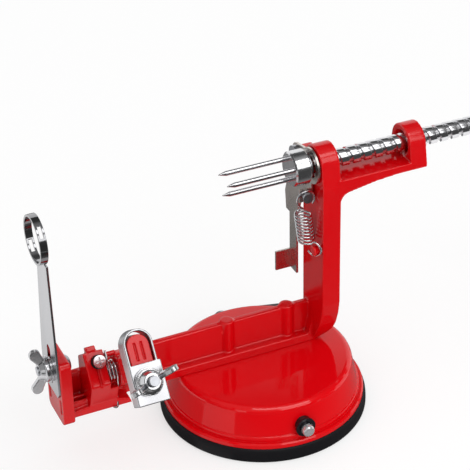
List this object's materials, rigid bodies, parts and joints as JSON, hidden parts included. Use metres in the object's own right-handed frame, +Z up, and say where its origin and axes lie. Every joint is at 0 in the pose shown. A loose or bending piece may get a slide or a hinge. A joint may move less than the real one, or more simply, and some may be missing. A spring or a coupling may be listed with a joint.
{
  "type": "apple peeler",
  "caption": "Red hand-cranked apple peeler, corer and slicer with a fork on a square-thread feed screw, a release latch, a sprung peeling arm and a suction base.",
  "frame": {"origin": "middle of the suction base on the counter", "axes": "+X along the feed screw towards the crank, +Y away from the user, +Z up"},
  "size_m": [0.4044, 0.1487, 0.154],
  "materials": {
    "red_casting": "glossy paint",
    "red_sheet": "glossy paint",
    "red_plastic": "glossy",
    "chrome": "polished",
    "blade_steel": "satin",
    "steel": "satin",
    "rubber": "matte",
    "black_plastic": "satin"
  },
  "bodies": {
    "stand": {"suction_pad": "rubber", "base_dome": "red_sheet", "pin_grommets": "rubber", "base_screws": "steel", "frame": "red_casting", "latch_screw": "steel", "latch_spring": "chrome", "core_bolt": "steel", "core_washer": "chrome", "peel_pin": "steel", "peel_clip": "steel", "peel_spring": "chrome", "ear_screw": "chrome", "ear_collar": "rubber"},
    "slider": {"thrust_washer": "steel"},
    "shaft": {"feed_screw": "chrome", "fork_hub": "chrome", "fork_prongs": "chrome", "crank_arm": "chrome", "crank_nut": "steel", "crank_pin": "steel"},
    "grip": {"crank_grip": "red_plastic"},
    "latch": {"latch_plate": "blade_steel", "latch_rivet": "steel"},
    "corer": {"core_blade": "blade_steel"},
    "corer_nut": {"core_wing_nut": "chrome"},
    "arm": {"peel_arm": "red_casting", "peel_bolt": "steel", "peel_washer": "chrome"},
    "peeler": {"peel_blade": "blade_steel"},
    "peeler_nut": {"peel_wing_nut": "chrome"},
    "lever": {"cam_pin": "steel", "pin_cap": "chrome", "suction_lever": "steel", "lever_sleeve": "black_plastic"},
    "stud": {"pull_stud": "steel"}
  },
  "joints": [
    {"name": "screw_feed", "type": "slide", "parent": "stand", "child": "slider", "axis": [-1, 0, 0], "range_m": [0, 0.0959]},
    {"name": "crank_spin", "type": "hinge", "parent": "slider", "child": "shaft", "pos_m": [0.1, 0, 0.1435], "axis": [-1, 0, 0], "range_deg": [0, 5220]},
    {"name": "grip_spin", "type": "hinge", "parent": "shaft", "child": "grip", "pos_m": [0.24, 0, 0.0555], "axis": [1, 0, 0], "continuous": true},
    {"name": "latch_swing", "type": "hinge", "parent": "stand", "child": "latch", "pos_m": [0.0294, 0.015, 0.1422], "axis": [-1, 0, 0], "range_deg": [0, 6], "stiffness_Nm_per_rad": 0.4, "springref_deg": -6.88, "deforming": ["latch_spring"]},
    {"name": "corer_slide", "type": "slide", "parent": "stand", "child": "corer", "axis": [0, 0, 1], "range_m": [-0.003, 0.006]},
    {"name": "corer_nut_spin", "type": "hinge", "parent": "stand", "child": "corer_nut", "pos_m": [-0.125, 0, 0.0595], "axis": [-1, 0, 0], "continuous": true},
    {"name": "arm_swing", "type": "hinge", "parent": "stand", "child": "arm", "pos_m": [-0.08, -0.006, 0.0522], "axis": [-1, 0, 0], "range_deg": [0, 34], "stiffness_Nm_per_rad": 0.01, "springref_deg": 51.57},
    {"name": "peeler_slide", "type": "slide", "parent": "arm", "child": "peeler", "axis": [0, 0.5878, 0.809], "range_m": [-0.001, 0.002]},
    {"name": "peeler_nut_spin", "type": "hinge", "parent": "arm", "child": "peeler_nut", "pos_m": [-0.0946, -0.07456, 0.09224], "axis": [0, -0.809, 0.5878], "continuous": true},
    {"name": "lever_turn", "type": "hinge", "parent": "stand", "child": "lever", "pos_m": [0, 0, 0.018], "axis": [0, -1, 0], "range_deg": [0, 110], "deforming": ["suction_pad"]},
    {"name": "stud_lift", "type": "slide", "parent": "stand", "child": "stud", "axis": [0, 0, -1], "range_m": [0, 0.0022]}
  ],
  "couplings": [
    {"joint": "screw_feed", "follows": "crank_spin", "m_per_rad": 0.0010504},
    {"joint": "stud_lift", "follows": "lever_turn", "m_per_rad": 0.0010417}
  ]
}
